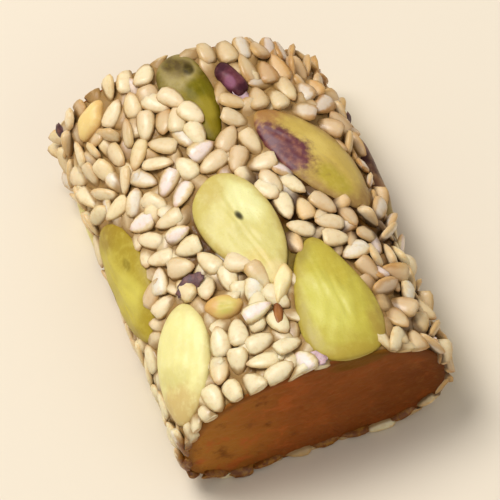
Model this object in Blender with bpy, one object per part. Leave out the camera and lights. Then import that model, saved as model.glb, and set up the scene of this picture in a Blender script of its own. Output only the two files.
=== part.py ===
"""Pistachio nougat: one cut length of a soft brown roll, pressed all round with sesame seeds
and set with pistachio kernels.

Metres, +Z up. The roll lies along Y on its flattened underside. Its knife-cut ends face -Y
(the front) and +Y, and the origin is at the middle of the underside. Every size below is in
millimetres until a shape is made. A place on the rolled surface is given by two lengths:
`around`, walked round the roll from its top line towards +X, and `along`, which is Y.
"""

from collections import namedtuple

import bmesh
import bpy
import numpy as np
from mathutils import Matrix, Vector

MM = 0.001
TINY = 1e-9
SMOOTH_UP_TO = 40.0  # edges bent less than this many degrees are shaded smooth

# The roll under its seeds.
LENGTH = 42.0
WIDTH = 29.6
HEIGHT = 16.9
BELLY = 7.2  # height of the widest line
UNDERSIDE = 7.8  # the lower half would reach this far under the belly, but is pressed flat
TOP_POWER = 2.4  # how square the upper half of the section is: 2 is an ellipse
BOTTOM_POWER = 2.8
UNEVENNESS = 0.15  # the roll is shaped by hand
BACK_SKEW = 0.6  # the back cut is not square: its +X side lies this much further forward
BACK_SQUEEZE = 2.4  # how far the shoulder at the back on the +X side has been pressed in
SQUEEZE_TURN = 1.2  # where round the roll that is, in radians from the top
SQUEEZE_SPREAD = 0.42  # and how far it reaches to both sides, in radians
SQUEEZE_LENGTH = 10.0  # it fades out over this length
COAT = 1.0  # thickness of the sticky coat that holds the seeds
GAP = 0.3  # left between neighbouring solids
COAT_SEGMENTS = 26
CORE_SEGMENTS = 36
ARC_STEPS = 2880
HOLLOW_LENGTH = 50.0  # the tool that hollows the coat runs out past both ends
SLOPE_STEP = 0.02  # radians, over which the slope of the surface is taken

# Sesame seeds.
SEED_LENGTH = 3.1
SEED_WIDTH = 1.9
SEED_HEIGHT = 0.8
SEED_SINK = 0.1  # its outline lies this far under the coat's surface
SEED_POINT = 0.3  # how much narrower the pointed end is
SEED_RINGS = ((7, 1.0, 0.0), (3, 0.62, 1.0), (3, 0.5, -0.5))  # points, width and height of each
SEED_COUNT = 212
SEED_DRAW = 7  # what the random places are drawn from
SEED_ARM = 0.60  # seeds keep apart by two circles, this far from the middle of each
SEED_REACH = 1.06  # and of this radius
SEED_SWING = 32.0  # degrees: they lie along the roll, give or take this much
SEED_TILT = 9.0  # degrees
SEED_SIZE_SPREAD = 0.10
SEED_CROWDING = 0.3  # a seed whose circles stay deeper than this in others is left off
SEED_TRIES = 40
SETTLING_STEPS = 260
SETTLING_RATE = 0.5
END_MARGIN = 0.9  # no seed has its middle nearer to a cut end
FLOOR_MARGIN = 1.5  # or to the flattened underside

# Pistachio kernels: where the middle lies, the length and width that show, the heading of the
# long axis in degrees from +Y towards +X, and how much narrower the end at that heading is.
# Green and pale ones are cut or bare kernels, and the last kind is a scrap of purple skin.
KERNEL_RISE = 1.0  # how far a kernel bulges over the coat
KERNEL_DEPTH = 3.4  # and how deep one at least as wide as KERNEL_FULL_WIDTH goes
KERNEL_FULL_WIDTH = 5.0
POCKET_RISE = 2.5  # a pocket is cut this high, through the seeds too
POCKET_SQUARENESS = 0.4  # with sides this much steeper than a kernel's, which are 1
Kernel = namedtuple("Kernel", "around along length width heading taper colour")
KERNELS = (
    Kernel(5.1, -13.5, 15.6, 8.9, -1.5, 0.32, "green"),
    Kernel(-1.1, -2.5, 15.1, 8.0, 167.0, 0.29, "pale"),
    Kernel(-13.1, -13.5, 13.3, 7.7, 29.0, 0.07, "pale"),
    Kernel(-16.8, -0.6, 15.3, 9.0, -7.5, -0.19, "green"),
    Kernel(9.5, 4.3, 15.9, 7.4, -36.3, 0.13, "green"),
    Kernel(-0.9, 14.8, 12.0, 5.2, -6.3, -0.37, "green"),
    Kernel(3.8, 15.7, 4.6, 2.6, -24.0, 0.0, "skin"),
    Kernel(-6.1, -10.3, 4.0, 2.8, -66.0, 0.1, "amber"),
    Kernel(-12.2, 18.0, 4.6, 2.8, 62.0, 0.1, "amber"),
    Kernel(21.2, 3.4, 12.6, 6.8, -8.0, 0.15, "skin"),
    Kernel(25.4, -12.4, 13.6, 6.6, 14.0, 0.12, "green"),
    Kernel(25.4, 15.4, 11.6, 6.8, 24.0, -0.15, "pale"),
    Kernel(-25.8, -11.6, 13.8, 6.6, 12.0, 0.12, "green"),
    Kernel(-25.2, 12.2, 13.4, 6.8, -18.0, -0.15, "pale"),
    Kernel(36.4, -7.0, 14.2, 7.4, 22.0, 0.15, "green"),
    Kernel(-36.0, 8.6, 14.6, 7.2, -12.0, -0.15, "pale"),
)
KERNEL_SIDES = (12, 6)  # segments and rings of the sphere that a kernel starts from
FRAGMENT_SIDES = (8, 4)  # and of one shorter than a seed or two
FRAGMENT_LENGTH = 6.0

# Colour (linear) and roughness of each material.
JELLY = ("brown_jelly", (0.155, 0.052, 0.018), 0.35)
SESAME = ("sesame", (0.72, 0.53, 0.32), 0.45)
KERNEL_COLOURS = {
    "green": (0.42, 0.40, 0.05),
    "pale": (0.72, 0.70, 0.25),
    "amber": (0.52, 0.26, 0.06),
    "skin": (0.08, 0.015, 0.04),
}
KERNEL_ROUGHNESS = 0.5


def reach_of(turn, along, inset):
    """Distance from the belly line to the surface, at `turn` radians from the top towards +X.

    A superellipse, 1 / ((|sin|/a)^n + (|cos|/b)^n)^(1/n), whose half-height b and power n
    differ above and below the belly, plus a slow swell, less the squeeze at the back."""
    across = np.abs(np.sin(turn))
    up = np.cos(turn)
    half_height = np.where(up >= 0, HEIGHT - BELLY, UNDERSIDE) - inset
    power = np.where(up >= 0, TOP_POWER, BOTTOM_POWER)
    ellipse = (across / (WIDTH / 2 - inset)) ** power + (np.abs(up) / half_height) ** power
    swell = np.sin(2 * turn + 0.6) + np.sin(3 * turn + 2.1)
    squeezed = np.clip((along - LENGTH / 2) / SQUEEZE_LENGTH + 1, 0, 1)
    squeezed = squeezed * np.exp(-(((turn - SQUEEZE_TURN) / SQUEEZE_SPREAD) ** 2))
    return ellipse ** (-1 / power) + UNEVENNESS * swell - BACK_SQUEEZE * squeezed


def rolled(turn, along, inset=0.0):
    """Points of the roll's surface, moved `inset` inwards. Arrays of the same shape go in."""
    reach = reach_of(turn, along, inset)
    return np.stack([reach * np.sin(turn), along, BELLY + reach * np.cos(turn)], axis=-1)


def arc_table():
    """Turns in fine steps, and the length walked round the pressed-flat section to each."""
    turns = np.linspace(-np.pi, np.pi, ARC_STEPS + 1)
    outline = rolled(turns, 0 * turns)
    outline[:, 2] = np.maximum(outline[:, 2], 0)
    steps = np.linalg.norm(np.diff(outline, axis=0), axis=1)
    walked = np.concatenate([[0.0], np.cumsum(steps)])
    return turns, walked - np.interp(0.0, turns, walked), outline


TURNS, WALKED, OUTLINE = arc_table()
GIRTH = WALKED[-1] - WALKED[0]
FLAT_FROM = WALKED[np.argmax(OUTLINE[:, 2] > 0)]  # the floor is met here, on the -X side


def back_end(across):
    """Where the back cut lies along the roll, at a place across it."""
    return LENGTH / 2 - BACK_SKEW * (across / WIDTH + 0.5)


def surface(around, along, height=0.0):
    """Points `height` above the rolled surface, and the outward direction there."""
    around = (around + GIRTH / 2) % GIRTH - GIRTH / 2
    turn = np.interp(around, WALKED, TURNS)
    point, ahead = rolled(turn, along), rolled(turn + SLOPE_STEP, along)
    point[..., 2] = np.maximum(point[..., 2], 0)
    ahead[..., 2] = np.maximum(ahead[..., 2], 0)
    forward = ahead - point
    outward = np.stack([-forward[..., 2], 0 * forward[..., 1], forward[..., 0]], axis=-1)
    outward /= np.linalg.norm(outward, axis=-1, keepdims=True)
    return point + outward * np.asarray(height)[..., None], outward


def kernel_points(kernel, directions, grown=0.0, rise=KERNEL_RISE, squareness=1.0):
    """Moves the points of a unit sphere onto a kernel. Its outline, a drop, is drawn on the
    roll; above it the kernel bulges by `rise`, and below it closes like half an ellipsoid."""
    spin = np.arctan2(directions[:, 1], directions[:, 0])
    up = directions[:, 2]
    spread = np.sqrt(np.maximum(1 - up**2, 0.0))
    spread = np.where(up > 0, spread**squareness, spread)
    heading = np.radians(kernel.heading)

    def on_roll(spread, height):
        long = (kernel.length / 2 + grown) * np.cos(spin) * spread
        wide = -(kernel.width / 2 + grown) * np.sin(spin) * spread
        wide = wide * (1 - kernel.taper * np.cos(spin))
        around = kernel.around + long * np.sin(heading) + wide * np.cos(heading)
        along = kernel.along + long * np.cos(heading) - wide * np.sin(heading)
        return surface(around, along, height)[0]

    over = on_roll(spread, np.maximum(up, 0) * rise)
    rim = on_roll(np.ones_like(spread), 0 * up)
    middle = rim.mean(axis=0)
    outward = surface(np.array(kernel.around), np.array(kernel.along))[1]
    depth = KERNEL_DEPTH * min(1.0, kernel.width / KERNEL_FULL_WIDTH) + grown
    sunk = depth * np.minimum(up, 0)
    under = middle + (rim - middle) * spread[:, None] + outward * sunk[:, None]
    return np.where((up > 0)[:, None], over, under)


def away_from_kernels(spots):
    """How far each spot must move to leave every kernel's outline, with a seed's width spare."""
    shove = np.zeros_like(spots)
    spare = SEED_WIDTH / 2 + GAP
    for kernel in KERNELS:
        heading = np.radians(kernel.heading)
        axis = np.array([np.sin(heading), np.cos(heading)])
        side = np.array([np.cos(heading), -np.sin(heading)])
        offset = spots - (kernel.around, kernel.along)
        offset[:, 0] = (offset[:, 0] + GIRTH / 2) % GIRTH - GIRTH / 2
        long = offset @ axis / (kernel.length / 2 + spare)
        wide = offset @ side / ((kernel.width / 2 + spare) * (1 - kernel.taper * long))
        depth = np.clip(1 - np.hypot(long, wide), 0, None) * kernel.width / 2
        outward = long[:, None] * axis / kernel.length + wide[:, None] * side / kernel.width
        outward /= np.linalg.norm(outward, axis=1, keepdims=True) + TINY
        shove += outward * depth[:, None]
    return shove


def settle_seeds():
    """Places (around, along) and headings of the seeds that show.

    Each is put where, of some random places off the kernels, it is furthest from the seeds
    before it. Then they push each other and the kernels' outlines away, each as two circles,
    until they lie side by side."""
    rng = np.random.default_rng(SEED_DRAW)
    side = -FLAT_FROM - FLOOR_MARGIN
    front = END_MARGIN - LENGTH / 2
    spot = np.zeros((0, 2))
    for _ in range(SEED_COUNT):
        tries = rng.uniform((-side, front), (side, -front), (SEED_TRIES, 2))
        tries = tries[~away_from_kernels(tries).any(axis=1)]
        nearest = np.linalg.norm(tries[:, None] - spot[None], axis=2).min(axis=1, initial=LENGTH)
        spot = np.concatenate([spot, tries[[nearest.argmax()]]])
    heading = np.radians(SEED_SWING) * rng.normal(size=SEED_COUNT)
    heading += np.pi * rng.integers(0, 2, SEED_COUNT)
    own = np.arange(2 * SEED_COUNT)
    for _ in range(SETTLING_STEPS):
        arm = SEED_ARM * np.stack([np.sin(heading), np.cos(heading)], axis=1)
        ends = np.concatenate([spot + arm, spot - arm])
        apart = ends[:, None] - ends[None]
        distance = np.hypot(apart[..., 0], apart[..., 1]) + TINY
        push = np.clip(2 * SEED_REACH - distance, 0, None) / 2
        push[own, own] = 0
        push[own, (own + SEED_COUNT) % (2 * SEED_COUNT)] = 0
        shove = (apart * (push / distance)[..., None]).sum(axis=1) + away_from_kernels(ends)
        tip, tail = shove[:SEED_COUNT], shove[SEED_COUNT:]
        spot = np.clip(spot + SETTLING_RATE * (tip + tail), (-side, front), (side, LENGTH))
        back = back_end(np.interp(spot[:, 0], WALKED, OUTLINE[:, 0])) - END_MARGIN
        spot[:, 1] = np.minimum(spot[:, 1], back)
        twist = tip - tail
        turn = arm[:, 1] * twist[:, 0] - arm[:, 0] * twist[:, 1]
        heading = heading + SETTLING_RATE * turn
    crowded = np.maximum(push[:SEED_COUNT].max(axis=1), push[SEED_COUNT:].max(axis=1))
    return spot, heading, crowded


def material(name, colour, roughness):
    made = bpy.data.materials.new(name)
    made.use_nodes = True
    shader = made.node_tree.nodes["Principled BSDF"]
    shader.inputs["Base Color"].default_value = (*colour, 1.0)
    shader.inputs["Roughness"].default_value = roughness
    return made


def mesh_from(shape, name):
    mesh = bpy.data.meshes.new(name)
    shape.to_mesh(mesh)
    shape.free()
    return mesh


def add_object(mesh, collection, made=None):
    obj = bpy.data.objects.new(mesh.name, mesh)
    collection.objects.link(obj)
    if made:
        mesh.materials.append(made)
    return obj


def helper(obj):
    obj.hide_render = True
    obj.display_type = "WIRE"
    return obj


def sphere_moved(name, sides, move):
    """A unit sphere whose points are moved by a function of their directions, mm to metres."""
    shape = bmesh.new()
    bmesh.ops.create_uvsphere(shape, u_segments=sides[0], v_segments=sides[1], radius=1.0)
    moved = move(np.array([vert.co for vert in shape.verts])) * MM
    for vert, place in zip(shape.verts, moved):
        vert.co = place
    return mesh_from(shape, name)


def roll_mesh(name, segments, inset, length):
    """A cylinder whose points are moved onto the rolled surface, `inset` inwards, with a ring
    of them where the squeezed end starts. Its axis, Z, becomes -Y."""
    shape = bmesh.new()
    bmesh.ops.create_cone(
        shape, cap_ends=True, segments=segments, radius1=1.0, radius2=1.0, depth=2.0
    )
    everything = [*shape.verts, *shape.edges, *shape.faces]
    start = (0, 0, -2 * (LENGTH / 2 - SQUEEZE_LENGTH) / length)
    bmesh.ops.bisect_plane(shape, geom=everything, plane_co=start, plane_no=(0, 0, 1))
    flat = np.array([vert.co for vert in shape.verts])
    turn = np.arctan2(flat[:, 0], flat[:, 1])
    placed = rolled(turn, -flat[:, 2] * length / 2, inset) * MM
    for vert, place in zip(shape.verts, placed):
        vert.co = place
    return mesh_from(shape, name)


def knife_box(collection):
    """The space the piece keeps: between the two knife cuts and above the board."""
    shape = bmesh.new()
    bmesh.ops.create_cube(shape, size=2.0)
    for vert in shape.verts:
        across = vert.co.x * WIDTH
        end = back_end(across) if vert.co.y > 0 else -LENGTH / 2
        vert.co = Vector((across, end, (vert.co.z + 1) * HEIGHT)) * MM
    helper(add_object(mesh_from(shape, "knife_box"), collection))


def seed_mesh():
    """A seed of unit length, width and height: an outline, a smaller crown over it and a keel
    under it, all drawn in towards the pointed end."""
    shape = bmesh.new()
    for count, spread, up in SEED_RINGS:
        for spin in np.arange(count) * 2 * np.pi / count:
            narrowed = 1 - SEED_POINT * np.cos(spin)
            across = np.sin(spin) * narrowed * spread / 2
            shape.verts.new((across, np.cos(spin) * spread / 2, up))
    bmesh.ops.convex_hull(shape, input=shape.verts)
    bmesh.ops.recalc_face_normals(shape, faces=shape.faces)
    return mesh_from(shape, "sesame_seed")


def seed_placements():
    """A matrix in metres for every seed that shows: on the coat, along its heading, a little
    tilted and of its own size. A seed that stayed too crowded is left off."""
    spots, headings, crowded = settle_seeds()
    rng = np.random.default_rng(SEED_DRAW + 1)
    points, outwards = surface(spots[:, 0], spots[:, 1], -SEED_SINK)
    matrices = []
    for spot, heading, point, outward in zip(spots, headings, points, outwards):
        size = 1 + SEED_SIZE_SPREAD * rng.uniform(-1, 1, 3)
        tilts = np.radians(SEED_TILT) * rng.uniform(-1, 1, 2)
        size *= (SEED_WIDTH, SEED_LENGTH, SEED_HEIGHT)
        up = Vector(outward)
        long = Vector((np.sin(heading) * up.z, np.cos(heading), -np.sin(heading) * up.x))
        side = long.cross(up)
        turned = Matrix((side, long, up)).transposed()
        turned = turned @ Matrix.Rotation(tilts[0], 3, "X") @ Matrix.Rotation(tilts[1], 3, "Y")
        scaled = turned @ Matrix.Diagonal(Vector(size * MM))
        matrices.append(Matrix.Translation(Vector(point * MM)) @ scaled.to_4x4())
    return [place for place, crowding in zip(matrices, crowded) if crowding < SEED_CROWDING]


def boolean(obj, operation, collection, solver="EXACT"):
    """Applies one Boolean with every object of a collection."""
    modifier = obj.modifiers.new(operation.lower(), "BOOLEAN")
    modifier.operation = operation
    modifier.operand_type = "COLLECTION"
    modifier.collection = collection
    modifier.solver = solver
    graph = bpy.context.evaluated_depsgraph_get()
    mesh = bpy.data.meshes.new_from_object(obj.evaluated_get(graph))
    obj.modifiers.clear()
    old, obj.data = obj.data, mesh
    bpy.data.meshes.remove(old)
    mesh.name = obj.name


def drop_scraps(mesh):
    """Keeps only the largest of the bodies that a cut left."""
    shape = bmesh.new()
    shape.from_mesh(mesh)
    left = set(shape.verts)
    bodies = []
    while left:
        newest = [left.pop()]
        body = set(newest)
        while newest:
            near = {edge.other_vert(vert) for vert in newest for edge in vert.link_edges}
            newest = near & left
            left -= newest
            body |= newest
        bodies.append(body)
    largest = max(bodies, key=len)
    scraps = [vert for vert in shape.verts if vert not in largest]
    bmesh.ops.delete(shape, geom=scraps, context="VERTS")
    shape.to_mesh(mesh)
    shape.free()


def make_kernels(piece, pockets, knife):
    """The kernels, each cut flush with the ends and the underside, and a pocket for each."""
    colours = {
        name: material(f"pistachio_{name}", colour, KERNEL_ROUGHNESS)
        for name, colour in KERNEL_COLOURS.items()
    }
    for number, kernel in enumerate(KERNELS, 1):
        sides = KERNEL_SIDES if kernel.length > FRAGMENT_LENGTH else FRAGMENT_SIDES
        mesh = sphere_moved(
            f"pistachio_{number:02d}", sides, lambda points: kernel_points(kernel, points)
        )
        pocket = sphere_moved(
            f"pocket_{number:02d}",
            sides,
            lambda points: kernel_points(kernel, points, GAP, POCKET_RISE, POCKET_SQUARENESS),
        )
        boolean(add_object(mesh, piece, colours[kernel.colour]), "INTERSECT", knife)
        helper(add_object(pocket, pockets))


def make_coat(piece, hollows, pockets, seeds, knife):
    """The sticky coat, a tube with the seeds fused on. With so many seeds EXACT is slow."""
    body = roll_mesh("sesame_coat", COAT_SEGMENTS, 0.0, LENGTH)
    coat = add_object(body, piece, material(*SESAME))
    hollow = roll_mesh("core_hollow", COAT_SEGMENTS, COAT, HOLLOW_LENGTH)
    helper(add_object(hollow, hollows))
    shared = seed_mesh()
    for place in seed_placements():
        helper(add_object(shared, seeds)).matrix_world = place
    boolean(coat, "UNION", seeds, "MANIFOLD")
    for seed in list(seeds.objects):
        bpy.data.objects.remove(seed)
    boolean(coat, "DIFFERENCE", hollows, "MANIFOLD")
    boolean(coat, "DIFFERENCE", pockets, "MANIFOLD")
    boolean(coat, "INTERSECT", knife, "MANIFOLD")
    drop_scraps(coat.data)


def make_core(piece, pockets, knife):
    """The brown jelly, which runs from end to end inside the coat."""
    body = roll_mesh("jelly_core", CORE_SEGMENTS, COAT + GAP, LENGTH)
    core = add_object(body, piece, material(*JELLY))
    boolean(core, "DIFFERENCE", pockets, "MANIFOLD")
    boolean(core, "INTERSECT", knife, "MANIFOLD")
    drop_scraps(core.data)


def main():
    for obj in list(bpy.data.objects):
        bpy.data.objects.remove(obj)
    names = ("pistachio_nougat", "helpers", "pockets", "hollows", "seeds", "knife")
    piece, helpers, pockets, hollows, seeds, knife = map(bpy.data.collections.new, names)
    bpy.context.scene.collection.children.link(piece)
    bpy.context.scene.collection.children.link(helpers)
    for collection in (pockets, hollows, seeds, knife):
        helpers.children.link(collection)
    knife_box(knife)
    make_kernels(piece, pockets, knife)
    make_coat(piece, hollows, pockets, seeds, knife)
    make_core(piece, pockets, knife)
    for obj in piece.objects:
        obj.data.shade_smooth()
        obj.data.set_sharp_from_angle(angle=np.radians(SMOOTH_UP_TO))


main()
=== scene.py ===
"""Pistachio nougat: the looks of one cut length of a soft brown roll, pressed all round with
sesame seeds and set with pistachio kernels.

Every size is in millimetres until a mesh is made. A place on the rolled surface is given as in
its solids: `around` is walked round the roll from its top line towards +X, and `along` is Y.
"""

from collections import namedtuple

import bpy
import numpy as np
from mathutils import Matrix, Vector


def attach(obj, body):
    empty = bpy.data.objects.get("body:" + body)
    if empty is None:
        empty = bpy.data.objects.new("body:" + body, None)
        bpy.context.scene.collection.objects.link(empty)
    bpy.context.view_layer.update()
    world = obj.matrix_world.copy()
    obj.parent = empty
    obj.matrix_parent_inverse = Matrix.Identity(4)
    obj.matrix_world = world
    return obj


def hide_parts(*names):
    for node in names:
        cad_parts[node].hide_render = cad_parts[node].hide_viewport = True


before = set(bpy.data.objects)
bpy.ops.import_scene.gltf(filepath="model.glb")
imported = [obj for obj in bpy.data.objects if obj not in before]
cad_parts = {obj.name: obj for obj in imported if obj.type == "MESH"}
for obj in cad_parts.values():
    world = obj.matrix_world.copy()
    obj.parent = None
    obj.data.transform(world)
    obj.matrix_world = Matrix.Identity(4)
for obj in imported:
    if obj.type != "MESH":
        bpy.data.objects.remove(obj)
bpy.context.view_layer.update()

MM = 0.001
TINY = 1e-9

# The roll under its seeds, as its solids have it.
LENGTH = 42.0
WIDTH = 29.6
HEIGHT = 16.9
BELLY = 7.2
UNDERSIDE = 7.8
TOP_POWER = 2.4
BOTTOM_POWER = 2.8
UNEVENNESS = 0.15
BACK_SKEW = 0.6
BACK_SQUEEZE = 2.4
SQUEEZE_TURN = 1.2
SQUEEZE_SPREAD = 0.42
SQUEEZE_LENGTH = 10.0
GAP = 0.3
ARC_STEPS = 2880
SLOPE_STEP = 0.02
WAVES = 24  # sine waves in a ripple
WAVE_SPREAD = (0.7, 1.5)  # their lengths, as shares of its size

# The seeds that lie on it, each where its solid has a mound. While they settle, a seed is two
# circles, each an arm away from its middle.
SEED_LENGTH = 3.1
SEED_WIDTH = 1.9
SEED_POINT = 0.3
SEED_COUNT = 212
SEED_DRAW = 7
SEED_ARM = 0.60
SEED_REACH = 1.06
SEED_SWING = 32.0
SEED_SIZE_SPREAD = 0.10
SEED_CROWDING = 0.3
SEED_TRIES = 40
SETTLING_STEPS = 260
SETTLING_RATE = 0.5
END_MARGIN = 0.9
FLOOR_MARGIN = 1.5

# The pistachio kernels, as their solids have them.
KERNEL_RISE = 1.0
KERNEL_DEPTH = 3.4
KERNEL_FULL_WIDTH = 5.0
Kernel = namedtuple("Kernel", "around along length width heading taper")
KERNELS = tuple(Kernel(*row) for row in (
    (5.1, -13.5, 15.6, 8.9, -1.5, 0.32),
    (-1.1, -2.5, 15.1, 8.0, 167.0, 0.29),
    (-13.1, -13.5, 13.3, 7.7, 29.0, 0.07),
    (-16.8, -0.6, 15.3, 9.0, -7.5, -0.19),
    (9.5, 4.3, 15.9, 7.4, -36.3, 0.13),
    (-0.9, 14.8, 12.0, 5.2, -6.3, -0.37),
    (3.8, 15.7, 4.6, 2.6, -24.0, 0.0),
    (-6.1, -10.3, 4.0, 2.8, -66.0, 0.1),
    (-12.2, 18.0, 4.6, 2.8, 62.0, 0.1),
    (21.2, 3.4, 12.6, 6.8, -8.0, 0.15),
    (25.4, -12.4, 13.6, 6.6, 14.0, 0.12),
    (25.4, 15.4, 11.6, 6.8, 24.0, -0.15),
    (-25.8, -11.6, 13.8, 6.6, 12.0, 0.12),
    (-25.2, 12.2, 13.4, 6.8, -18.0, -0.15),
    (36.4, -7.0, 14.2, 7.4, 22.0, 0.15),
    (-36.0, 8.6, 14.6, 7.2, -12.0, -0.15),
))


# ---- the rolled surface


def reach_of(turn, along, inset):
    """Distance from the belly line to the surface, at `turn` radians from the top towards +X.

    A superellipse, 1 / ((|sin|/a)^n + (|cos|/b)^n)^(1/n), whose half-height b and power n
    differ above and below the belly, plus a slow swell, less the squeeze at the back."""
    across = np.abs(np.sin(turn))
    up = np.cos(turn)
    half_height = np.where(up >= 0, HEIGHT - BELLY, UNDERSIDE) - inset
    power = np.where(up >= 0, TOP_POWER, BOTTOM_POWER)
    ellipse = (across / (WIDTH / 2 - inset)) ** power + (np.abs(up) / half_height) ** power
    swell = np.sin(2 * turn + 0.6) + np.sin(3 * turn + 2.1)
    squeezed = np.clip((along - LENGTH / 2) / SQUEEZE_LENGTH + 1, 0, 1)
    squeezed = squeezed * np.exp(-(((turn - SQUEEZE_TURN) / SQUEEZE_SPREAD) ** 2))
    return ellipse ** (-1 / power) + UNEVENNESS * swell - BACK_SQUEEZE * squeezed


def rolled(turn, along, inset=0.0):
    """Points of the roll's surface, moved `inset` inwards."""
    reach = reach_of(turn, along, inset)
    return np.stack([reach * np.sin(turn), along, BELLY + reach * np.cos(turn)], axis=-1)


def above_board(points, clear=0.0):
    """Presses what would lie lower up to the board, or to `clear` above it."""
    points[..., 2] = np.maximum(points[..., 2], clear)
    return points


def arc_table():
    """Turns in fine steps, the length walked round the pressed-flat section to each, and the
    section itself."""
    turns = np.linspace(-np.pi, np.pi, ARC_STEPS + 1)
    outline = above_board(rolled(turns, 0 * turns))
    steps = np.linalg.norm(np.diff(outline, axis=0), axis=1)
    walked = np.concatenate([[0.0], np.cumsum(steps)])
    return turns, walked - np.interp(0.0, turns, walked), outline


TURNS, WALKED, OUTLINE = arc_table()
GIRTH = WALKED[-1] - WALKED[0]
FLAT_FROM = WALKED[np.argmax(OUTLINE[:, 2] > 0)]


def back_end(across):
    """Where the back cut lies along the roll, at a place across it."""
    return LENGTH / 2 - BACK_SKEW * (across / WIDTH + 0.5)


def wrapped(around):
    return (around + GIRTH / 2) % GIRTH - GIRTH / 2


def steps_from(origin, spots):
    """Steps (around, along) from an origin to spots, the short way round the roll."""
    steps = spots - origin
    steps[..., 0] = wrapped(steps[..., 0])
    return steps


def headed(heading):
    """Unit steps (around, along) that go along a heading in radians, and to its right."""
    sin, cos = np.sin(heading), np.cos(heading)
    return np.array([sin, cos]), np.array([cos, -sin])


def surface(around, along, height=0.0):
    """Points `height` above the rolled surface, and the outward direction there."""
    turn = np.interp(wrapped(around), WALKED, TURNS)
    point = above_board(rolled(turn, along))
    forward = above_board(rolled(turn + SLOPE_STEP, along)) - point
    outward = np.stack([-forward[..., 2], 0 * forward[..., 1], forward[..., 0]], axis=-1)
    outward /= np.linalg.norm(outward, axis=-1, keepdims=True)
    return point + outward * np.asarray(height)[..., None], outward


def ripple(points, height, size, draw):
    """Uneven relief, mostly within `height` of 0: the sum of sine waves of about one length,
    each with its own random direction and phase, over the root of their number."""
    rng = np.random.default_rng(draw)
    headings = rng.normal(size=(WAVES, points.shape[-1]))
    headings /= np.linalg.norm(headings, axis=1, keepdims=True)
    headings *= 2 * np.pi / (size * rng.uniform(*WAVE_SPREAD, (WAVES, 1)))
    phases = rng.uniform(0, 2 * np.pi, WAVES)
    return height * (np.sin(points @ headings.T + phases).sum(axis=-1) / np.sqrt(WAVES))


def eased(value, low, high):
    """0 below `low`, 1 above `high` and a smooth step between."""
    share = np.clip((value - low) / (high - low), 0, 1)
    return share * share * (3 - 2 * share)


# ---- meshes from grids


def grid_angles(rings, sides, shift=0.0):
    """Angles from one end of a closed form to the other, as a column, and round it, as a row."""
    down = (np.arange(rings) + 0.5) * np.pi / rings
    about = (np.arange(sides) + shift) * 2 * np.pi / sides
    return down[:, None], about[None]


def closed_form(grid):
    """Vertices and faces of closed forms. The last three axes of the grid are rings, places
    round a ring and channels, and each end is closed to the mean of its ring. Axes before
    them are copies."""
    rings, sides, channels = grid.shape[-3:]
    grid = grid.reshape(-1, rings, sides, channels)
    poles = grid[:, [0, -1]].mean(axis=2)
    vertices = np.concatenate([grid.reshape(len(grid), -1, channels), poles], axis=1)
    index = np.arange(rings * sides).reshape(rings, sides)
    after = np.roll(index, -1, axis=1)
    quads = np.stack([index[:-1], after[:-1], after[1:], index[1:]], axis=-1).reshape(-1, 4)
    first, last = np.full(sides, rings * sides), np.full(sides, rings * sides + 1)
    fans = np.concatenate(
        [np.stack([first, after[0], index[0]], 1), np.stack([last, index[-1], after[-1]], 1)]
    )
    starts = np.arange(len(grid))[:, None, None] * vertices.shape[1]
    quads, fans = (quads + starts).reshape(-1, 4), (fans + starts).reshape(-1, 3)
    return vertices.reshape(-1, channels), quads, fans


def ring_form(grid):
    """Vertices and faces of a closed tube: a grid whose rows and columns both come round."""
    rows, columns, channels = grid.shape
    index = np.arange(rows * columns).reshape(rows, columns)
    right, down = np.roll(index, -1, axis=1), np.roll(index, -1, axis=0)
    across = np.roll(right, -1, axis=0)
    quads = np.stack([index, right, across, down], axis=-1).reshape(-1, 4)
    return grid.reshape(-1, channels), quads, np.zeros((0, 3), int)


def facing_out(vertices, quads, fans):
    """Faces as one list, turned round if the form they close has a negative volume."""
    corners = np.concatenate([quads[:, [0, 1, 2]], quads[:, [0, 2, 3]], fans])
    volume = np.linalg.det(vertices[corners][:, :, :3]).sum()
    order = 1 if volume > 0 else -1
    return quads[:, ::order].tolist() + fans[:, ::order].tolist()


def shown(name, data):
    """A new object of the scene, from its mesh, light or camera."""
    thing = bpy.data.objects.new(name, data)
    bpy.context.scene.collection.objects.link(thing)
    return thing


def make_piece(name, form, finish, channels=()):
    """A smooth piece that rides on the one body. Channels after the three of the point become
    attributes of their own names."""
    vertices, quads, fans = form
    mesh = bpy.data.meshes.new(name)
    mesh.from_pydata(vertices[:, :3] * MM, [], facing_out(vertices, quads, fans))
    for channel, values in zip(channels, vertices[:, 3:].T):
        attribute = mesh.attributes.new(channel, "FLOAT", "POINT")
        attribute.data.foreach_set("value", values.astype(np.float32))
    mesh.shade_smooth()
    mesh.materials.append(finish.material)
    piece = shown(name, mesh)
    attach(piece, "root")
    return piece


# ---- finishes


def operator(operation, reflected=False):
    """A Python operator for wires that adds a Math node."""

    def apply(wire, other):
        values = (other, wire) if reflected else (wire, other)
        return wire.finish.add("ShaderNodeMath", {"operation": operation}, values)

    return apply


class Wire:
    """One socket of a finish. Expressions on it add Math nodes."""

    def __init__(self, finish, socket):
        self.finish = finish
        self.socket = socket

    __add__, __radd__ = operator("ADD"), operator("ADD", True)
    __sub__, __rsub__ = operator("SUBTRACT"), operator("SUBTRACT", True)
    __mul__, __rmul__ = operator("MULTIPLY"), operator("MULTIPLY", True)
    __pow__ = operator("POWER")

    def step(self, low, high):
        """A smooth step from 0 at `low` to 1 at `high`."""
        values = {"Value": self, "From Min": low, "From Max": high}
        return self.finish.add("ShaderNodeMapRange", {"interpolation_type": "SMOOTHSTEP"}, values)


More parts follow.
